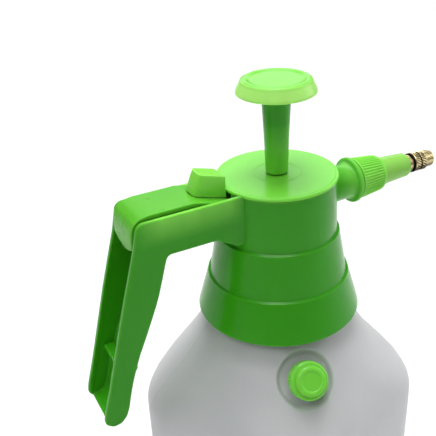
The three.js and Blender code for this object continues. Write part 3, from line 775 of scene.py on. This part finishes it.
def grip_ribs(count, depth, h0, h1, least):
    """Fine ribs cut along the height of a turned piece, fading out at both ends."""

    def warp(r, h, a):
        share = smooth((h - h0) / 0.8) * smooth((h1 - h) / 0.8) * (r > least)
        wave = 0.5 - 0.5 * np.cos(count * a)
        return r - depth * share * wave**0.8, h

    return warp


place(
    mesh_object(
        "relief_pull_knob",
        on_relief(
            turned(
                [(0, -5.3), (3.3, -5.3), (3.3, -4.4), (1.3, -4.4), (1.3, 10, 0), (6.6, 10, 0.5), (6.6, 3.8), (9, 3.8, 0.5), (9.6, 4.4, 0.6),
                 (9.6, 9.6, 0.9), (8.6, 10.4, 0.6), (7.6, 10.4, 0.4), (7.4, 12.9, 0.8), (6.4, 13.6, 1.2), (5.2, 13.6, 0.5), (4.6, 13.1, 0.4), (0, 13.1)],
                240, 0.25, 5, 0.9, grip_ribs(40, 0.28, 4.6, 9.4, 8.9),
            )
        ),
    ),
    "relief", ["relief_knob"], LIGHT,
)


def spring_mesh(radius, wire, h0, h1, turns, per=40, sides=12, start=0.0):
    """Coil of round wire, its two ends capped."""
    n = int(per * turns)
    t = np.linspace(0, 1, n + 1)
    a = start + 2 * math.pi * turns * t
    path = np.stack([radius * np.cos(a), radius * np.sin(a), h0 + (h1 - h0) * t], -1)
    tan = np.gradient(path, axis=0)
    tan /= np.linalg.norm(tan, axis=1, keepdims=True)
    side = np.stack([np.cos(a), np.sin(a), 0 * a], -1)
    up = np.cross(tan, side)
    b = np.arange(sides) * 2 * math.pi / sides
    v = (path[:, None] + wire * (np.cos(b)[None, :, None] * side[:, None] + np.sin(b)[None, :, None] * up[:, None])).reshape(-1, 3)
    f = []
    for i in range(n):
        for j in range(sides):
            k = (j + 1) % sides
            f.append((i * sides + j, i * sides + k, (i + 1) * sides + k, (i + 1) * sides + j))
    f.append(tuple(range(sides)))
    f.append(tuple(range((n + 1) * sides - 1, n * sides - 1, -1)))
    return v, f


place(mesh_object("relief_valve_spring", on_relief(spring_mesh(2.6, 0.42, -3.6, 1.7, 3))), "relief", ["relief_spring"], STEEL, 60)


# ------------------------------------------------------------------ head, spout and handle: one moulding
def head_moulding():
    o = mesh_object(
        "pump_head",
        turned(
            [
                (13.1, -33), (28.9, -33, 0.3), (28.9, -58), (31.1, -58), (31.1, -46, 0.3), (32.5, -53, 0.3), (33.7, -54.3, 0.6),
                (39.3, -73.2, 0.4), (39.9, -74, 0.4), (41.4, -74, 0.45), (42, -73.3, 0.6), (36.2, -53.15, 0.25),
                (34.95, -52.4, 0.3), (31.1, -29.95, 0.25), (29.85, -29.2, 0.3), (29.4, -2.06, 0.25), (27.2, -2.06, 0.25),
                (27.3, -30.2, 0.6), (13.1, -30.2),
            ],
            168, 0.25, 5, 3.2,
        ),
    )
    thread = spring_mesh(28.75, 1.05, -50.5, -43, 1.25, 96, 10)
    combine(o, thread, "UNION")
    spout = about_x(
        turned(
            [
                (0, 27.6), (9.3, 27.6), (9.0, 39.6, 2.0), (9.3, 41.6, 1.2), (9.9, 42.5, 0.6), (11.3, 42.7, 0.5), (11.85, 43.3, 0.5), (11.85, 44.5, 0.6),
                (11.3, 45.2, 0.4), (8.1, 45.2, 0.3), (8.1, 56.9, 0.3), (7.6, 57.4, 0.3), (0, 57.4),
            ],
            112, 0.3, 5, 3.0,
        )
    )
    combine(o, spout, "UNION")
    side = rounded(
        [
            (-22.0, -0.7, 0), (-78.9, -0.7, 4.6), (-81.7, -14.3, 40), (-85.8, -28.5, 60), (-90, -43, 60), (-93.4, -55.9, 60), (-97.4, -71.1, 60),
            (-101.4, -86, 60), (-104.6, -97, 30), (-105.6, -102.2, 3.6), (-101.4, -105.5, 3.4), (-97.2, -104.9, 3.2), (-94.3, -101.8, 4),
            (-92.6, -97.6, 10), (-89.6, -85, 60), (-84.9, -71, 60), (-78.4, -56.3, 60), (-72.2, -41.5, 60), (-69.2, -31.4, 40), (-67.1, -24.1, 10),
            (-65.6, -19.7, 4.2), (-41, -19.7, 1.6), (-29.9, -25.6, 1.0), (-22, -25.6, 0),
        ],
        1.0, 7,
    )
    side = divided(side, 4.0)
    hollow = rounded(
        [
            (-18, 8, 0), (-90, 8, 0), (-100, -30, 0), (-112, -75, 0), (-118, -112, 0), (-106.2, -108, 0), (-104.9, -104.7, 0), (-102.6, -102.9, 2),
            (-99.4, -102.6, 3), (-96.9, -100.8, 4), (-94.9, -96.8, 8), (-91.8, -84.3, 60), (-87.1, -70.2, 60), (-80.5, -55.5, 60), (-74.3, -40.8, 60),
            (-71.3, -30.8, 40), (-69.1, -23.2, 10), (-66.9, -17.5, 4.0), (-18, -17.5, 0),
        ],
        1.0, 7,
    )
    hollow = divided(hollow, 4.0)
    arm = mesh_object("arm", prism(side, -14, 14))
    combine(arm, prism(hollow, -11.8, 11.8), "DIFFERENCE")
    bevelled(arm, 0.55, 3, 30)
    rib = rounded([(-85.2, -75.4), (-86.1, -77.6), (-94.2, -77.6, 0.7), (-93.8, -75.4, 0.7)], 0.3, 4)
    combine(arm, prism(rib, -12.4, 12.4), "UNION")
    combine(arm, turned([(0, -40), (28.2, -40), (28.2, 8), (0, 8)], 168, 0), "DIFFERENCE")
    combine(arm, bar(2.15, (-36, -13.15, -9), (-36, 13.15, -9)), "DIFFERENCE")
    combine(o, arm, "UNION")
    combine(o, about_x(turned([(0, 20), (3.5, 20), (3.5, 38), (2.4, 38), (2.4, 60), (0, 60)], 48, 0.1)), "DIFFERENCE")
    combine(o, bar(2.9, (VALVE_X, 0, -36), (VALVE_X, 0, -28)), "DIFFERENCE")
    combine(o, block(-34, -22, -6.2, 6.2, -10.4, 2), "DIFFERENCE")
    return o


place(head_moulding(), "head", ["head_housing", "handle_grip"], HEAD, 30)

# ------------------------------------------------------------------ cap
cap = mesh_object(
    "cap_plate",
    turned(
        [
            (3.4, -2), (3.4, 0, 0.3), (10.9, 0, 1.0), (11.6, -0.12, 0.6), (12.3, 0, 1.0), (28.2, 0, 0.5), (28.6, -0.22, 0.3), (28.95, -0.2, 0.3),
            (29.5, -0.16, 0.4), (30, -0.85, 0.5), (29.9, -1.6, 0.3), (29.4, -2, 0.25), (26.9, -2), (26.9, -6.2), (24.9, -6.2), (24.9, -2),
            (15, -2), (15, -7), (13, -7), (13, -2),
        ],
        192, 0.2, 5, 4.0,
    ),
)
combine(cap, block(-31, -13.6, -6.6, 6.6, -9, -2.05), "DIFFERENCE")
combine(cap, block(13.6, 31, -6.6, 6.6, -9, -2.05), "DIFFERENCE")
place(cap, "head", ["top_cap"], LIGHT)

# ------------------------------------------------------------------ pump knob
place(
    mesh_object(
        "pump_handle_knob",
        turned(
            [
                (0, 46.45), (12.4, 46.45, 2.0), (14.2, 47.1, 1.6), (15.5, 47.1, 1.2), (16.7, 46.5, 1.2), (19.1, 41.6, 1.2), (19.2, 40.8, 0.6), (18.7, 40.3, 0.5),
                (17.6, 40.2, 0.3), (8.4, 39.4, 1.4), (7, 38, 1.6), (6.1, 20, 40), (5.5, 1.4, 0.5), (5.2, 0.6, 0.4), (4.6, 0.3, 0.2), (3.3, 0.3), (3.3, 34), (0, 34),
            ],
            160, 0.3, 6, 3.0,
        ),
    ),
    "pump", ["pump_knob"], KNOB,
)

# ------------------------------------------------------------------ thumb lever
def lever_piece():
    line = rounded(
        [
            (-31.2, -3.7, 0.4), (-48.2, 0.9, 6), (-49.6, 1.15, 6), (-51, 1.2, 6), (-72, 1.2, 12), (-76.4, 0.4, 6), (-79.4, -1.7, 4), (-81, -5, 6), (-81.4, -9, 10),
            (-81.25, -17.2, 0.3), (-79.8, -17.2, 0.3), (-79.6, -9, 8), (-79.4, -6.4, 4), (-78, -3.4, 3), (-75.6, -1.8, 4), (-71.6, -1.2, 4),
            (-51, -1.2, 8), (-48.2, -1.5, 8), (-31.2, -6.05, 0.4),
        ],
        0.5, 6,
    )
    plate = mesh_object("thumb_lever", prism(divided(line, 3.0), -11.2, 11.2))
    combine(plate, bar(20.6, (-95, 0, 3.4), (-20, 0, 3.4), 180), "INTERSECT")
    combine(plate, block(-47.2, -38.8, -2.2, 2.2, -6, 4), "DIFFERENCE")
    bevelled(plate, 0.6, 4, 34)
    web = prism(rounded([(-31.4, -4.6), (-37.4, -2.9), (-37.4, -9), (-31.4, -8.2)], 0.3), -5, 5)
    combine(plate, web, "UNION")
    fork = prism(rounded([(-33, -6), (-15.9, -6, 0.6), (-15.9, -8.2, 0.6), (-33, -8.2)], 0.2), -4.6, 4.6)
    combine(plate, fork, "UNION")
    combine(plate, bar(3, (-36, -11.2, -9), (-36, 11.2, -9), 48, 0.3), "UNION")
    combine(plate, bar(1.8, (-36, -13, -9), (-36, 13, -9), 40, 0.3), "UNION")
    combine(plate, block(-37.2, -34.8, -10.6, -8.6, -9, -3.2), "UNION")
    combine(plate, block(-37.2, -34.8, 8.6, 10.6, -9, -3.2), "UNION")
    combine(plate, bar(1.6, (VALVE_X, 0, -10), (VALVE_X, 0, -4), 32), "DIFFERENCE")
    combine(plate, block(VALVE_X, -14, -1.6, 1.6, -10, -4), "DIFFERENCE")
    return plate


place(lever_piece(), "lever", ["trigger_lever"], LEVER, 30)


# ------------------------------------------------------------------ lock slider
def lofted(levels, outlines):
    """Closed solid through one (x, y) outline per height, all with the same number of points."""
    n = len(outlines[0])
    v = [(x, y, h) for h, line in zip(levels, outlines) for x, y in line]
    f = [tuple(range(n)), tuple(range(len(v) - 1, len(v) - n - 1, -1))]
    for i in range(len(levels) - 1):
        f += [(i * n + j, i * n + (j + 1) % n, (i + 1) * n + (j + 1) % n, (i + 1) * n + j) for j in range(n)]
    return np.array(v, float), f


def lock_piece():
    # the rear leans forward, and its two upright corners are rounded all the way up
    levels = np.linspace(-5, 12.5, 36)
    rear = np.interp(levels, [-5, 0.98, 3.6, 7.2, 10.2, 12.5], [-47.35, -47.2, -46.5, -45.2, -43.75, -42.6])
    plans = [rounded([(x, -5.3, 3.1), (-30.5, -5.3, 0.8), (-30.5, 5.3, 0.8), (x, 5.3, 3.1)], 3.1, 10) for x in rear]
    o = mesh_object("lock_slide_block", lofted(levels, plans))
    shape = rounded([(-52, 10.62, 0), (-43.1, 10.62, 2), (-42.2, 10.4, 4), (-31.2, 7.3, 0.8), (-30.2, 6.3, 0.4), (-30.2, -3.58, 0), (-52, 2.27, 0)], 0.5, 6)
    combine(o, prism(shape, -8, 8), "INTERSECT")
    eased(o, 0.9, 5, 40, 4.0)
    combine(o, prism([(-43.6, 1.0), (-43.6, -3.6), (-39.2, -4.8), (-39.2, 0)], -1.7, 1.7), "UNION")
    combine(o, prism(rounded([(-45, -2.65), (-45, -4.1), (-38.2, -5.95), (-38.2, -4.5)], 0.3), -4, 4), "UNION")
    return o


place(lock_piece(), "lock", ["lock_slider"], LOCK, 34)

# ------------------------------------------------------------------ nozzle
place(
    mesh_object(
        "ribbed_coupling_nut",
        about_x(
            turned(
                [
                    (8.5, 46.0), (10.8, 46.0, 0.2), (11.05, 46.5, 0.4), (10.9, 47.6, 0.3), (9.7, 58.6, 0.6), (9.3, 60.8, 0.8), (8.2, 62.4, 0.4), (7.75, 62.4), (7.75, 61.3), (8.5, 61.3),
                ],
                440, 0.2, 5, 0.5, grip_ribs(44, 0.5, 46.2, 59.8, 8.9),
            )
        ),
    ),
    "nut", ["coupling_nut"], LIGHT, 60,
)
place(
    mesh_object(
        "nozzle_tube",
        about_x(
            turned(
                [(2.3, 59.1), (8.1, 59.1), (8.1, 61), (7.4, 61), (7.35, 64, 8), (6.35, 79.2, 0.5), (5.9, 80.1, 0.4), (4.1, 80.1), (4.1, 70), (2.3, 70)],
                112, 0.25, 5, 2.0,
            )
        ),
    ),
    "nozzle", ["nozzle_holder"], TUBE,
)


def knurled(count, depth, x0, x1, lead, groove):
    """Diagonal knurl between x0 and x1, split by a turned groove."""

    def warp(r, h, a):
        outer = smooth((r - 4.9) / 0.25)
        share = smooth((h - x0) / 0.3) * smooth((x1 - h) / 0.3) * outer
        one = 0.5 + 0.5 * np.cos(count * a + lead * (h - x0))
        cut = depth * one**2.0
        ring = 0.9 * np.exp(-(((h - groove) / 0.46) ** 6)) * outer
        return r - np.maximum(cut * share, ring), h

    return warp


place(
    mesh_object(
        "nozzle_tip",
        about_x(
            turned(
                [(3.4, 84.5), (5, 84.5, 0.2), (5.3, 84.8, 0.15), (5.3, 91.7, 0.2), (4.65, 92.1, 0.2), (4.45, 96.9, 0.3), (4.1, 97.4, 0.3), (2.3, 97.4, 0.3), (0.6, 96, 0.2), (0.6, 95), (3.4, 94.6)],
                320, 0.12, 4, 0.22, knurled(22, 0.55, 85.3, 91.6, -2.6, 88.3),
            )
        ),
    ),
    "sleeve", ["nozzle_sleeve"], BRASS_TIP, 70,
)
ring = turned([(4.65 + 0.62 * math.cos(t), 83.85 + 0.48 * math.sin(t), 0) for t in np.arange(0, 2 * math.pi, math.pi / 14)], 120, 0)
place(mesh_object("nozzle_seal_ring", about_x(ring)), "tip_ring", ["nozzle_oring"], RING, 60)


def stem_thread(r, h, a):
    """Fine thread on the front of the stem."""
    share = smooth((h - 84.2) / 0.4) * smooth((91.6 - h) / 0.4) * (r > 2.7)
    return r - 0.28 * share * (0.5 + 0.5 * np.cos(2 * math.pi * (h / 1.0) - a)), h


place(
    mesh_object(
        "nozzle_core",
        about_x(
            turned(
                [(1.2, 70.3), (3.8, 70.3), (3.8, 80.4), (4.75, 80.4, 0.2), (4.75, 82.5, 0.3), (4.3, 83.2, 0.2), (3, 83.2), (3, 92, 0.2), (1.4, 94, 0.2), (0, 94), (0, 91), (1.2, 91)],
                96, 0.1, 3, 0.25, stem_thread,
            )
        ),
    ),
    "nozzle", ["nozzle_stem"], BRASS, 60,
)

# ------------------------------------------------------------------ valve spring, a fixed coil with its own mesh
coil = spring_mesh(2.1, 0.32, -23.38, -13.12, 4)
coil = place(mesh_object("valve_return_spring", (coil[0] + np.array([VALVE_X, 0, 0]), coil[1])), "head", ["valve_spring"], STEEL, 60)
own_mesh(coil)

# ------------------------------------------------------------------ inner pieces keep their CAD shapes and get a finish
FINISH = {
    "neck_gasket": BLACK, "relief_gasket": BLACK, "relief_nut": BODY, "relief_disc": BLACK,
    "piston_rod": STEEL, "piston": NATURAL, "piston_seal": BLACK, "piston_nut": STEEL, "pump_barrel": NATURAL, "barrel_gasket": BLACK,
    "rod_guide": NATURAL, "barrel_foot": NATURAL, "check_valve_flap": BLACK, "valve_body": NATURAL, "valve_gland": NATURAL,
    "valve_stem": BRASS_STEM, "stem_seal": BLACK, "dip_tube": HOSE, "dip_filter": NATURAL, "delivery_hose": HOSE,
    "spout_elbow": NATURAL, "nozzle_gasket": BLACK, "nozzle_strainer": NATURAL,
}
for name, mat in FINISH.items():
    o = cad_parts[name]
    o.data.materials.clear()
    o.data.materials.append(mat)
    o.data.polygons.foreach_set("use_smooth", [True] * len(o.data.polygons))
    o.data.set_sharp_from_angle(angle=rad(38))

# ------------------------------------------------------------------ floor, light and camera
floor = bpy.data.meshes.new("floor")
floor.from_pydata([(-6, -6, 0), (6, -6, 0), (6, 6, 0), (-6, 6, 0)], [], [(0, 1, 2, 3)])
floor = bpy.data.objects.new("floor", floor)
floor.location.z = -0.0006
bpy.context.scene.collection.objects.link(floor)
k = Look("floor_pale")
k.link(k.mix(k.remap(k.noise(3.0, 3.0), 0.3, 0.7), (0.92, 0.92, 0.92), (0.905, 0.905, 0.908)), k.b.inputs["Base Color"])
k.set(Roughness=0.75)
k.bump(k.noise(240.0, 3.0), 0.05, 0.0003)
floor.data.materials.append(k.done())

world = bpy.data.worlds.new("studio")
bpy.context.scene.world = world
world.use_nodes = True
world.node_tree.nodes["Background"].inputs[0].default_value = (1.0, 1.0, 1.0, 1.0)
world.node_tree.nodes["Background"].inputs[1].default_value = 0.13


def area(name, place_at, aim, size, power, colour=(1, 1, 1)):
    light = bpy.data.lights.new(name, "AREA")
    light.shape = "RECTANGLE"
    light.size, light.size_y = size
    light.energy = power
    light.color = colour
    o = bpy.data.objects.new(name, light)
    o.location = place_at
    o.rotation_mode = "QUATERNION"
    o.rotation_quaternion = (Vector(aim) - Vector(place_at)).to_track_quat("-Z", "Y")
    bpy.context.scene.collection.objects.link(o)
    return o


area("overhead", (0.00, 0.05, 1.55), (0.0, 0.0, 0.0), (0.6, 0.6), 8)
area("sweep", (0.60, 1.40, 3.00), (0.60, 1.40, 0.0), (2.2, 2.2), 50)
area("ceiling", (0.0, 0.0, 5.00), (0.0, 0.0, 0.0), (14.0, 14.0), 170)
area("far", (1.3, 3.2, 1.6), (1.2, 3.0, 0), (3.2, 2.2), 36)
area("right", (1.35, -0.35, 0.70), (0, 0, 0.22), (0.8, 0.8), 5)
area("high_left", (-0.95, -0.50, 1.55), (0, 0, 0.22), (0.7, 0.7), 6)

cam = bpy.data.cameras.new("camera")
cam.sensor_width = 36.0
cam.lens = 58.576
cam.clip_start, cam.clip_end = 0.01, 50
camera = bpy.data.objects.new("camera", cam)
right, up, forward = Vector((0.8881, -0.4573, -0.0459)), Vector((0.2501, 0.3969, 0.8831)), Vector((0.3856, 0.7958, -0.4668))
camera.matrix_world = Matrix(
    (
        (right.x, up.x, -forward.x, -0.16411),
        (right.y, up.y, -forward.y, -0.27048),
        (right.z, up.z, -forward.z, 0.40459),
        (0, 0, 0, 1),
    )
)
bpy.context.scene.collection.objects.link(camera)
bpy.context.scene.camera = camera
bpy.context.scene.view_settings.view_transform = "Standard"
bpy.context.scene.view_settings.look = "None"
bpy.context.scene.view_settings.exposure = 0.0

bpy.context.view_layer.update()
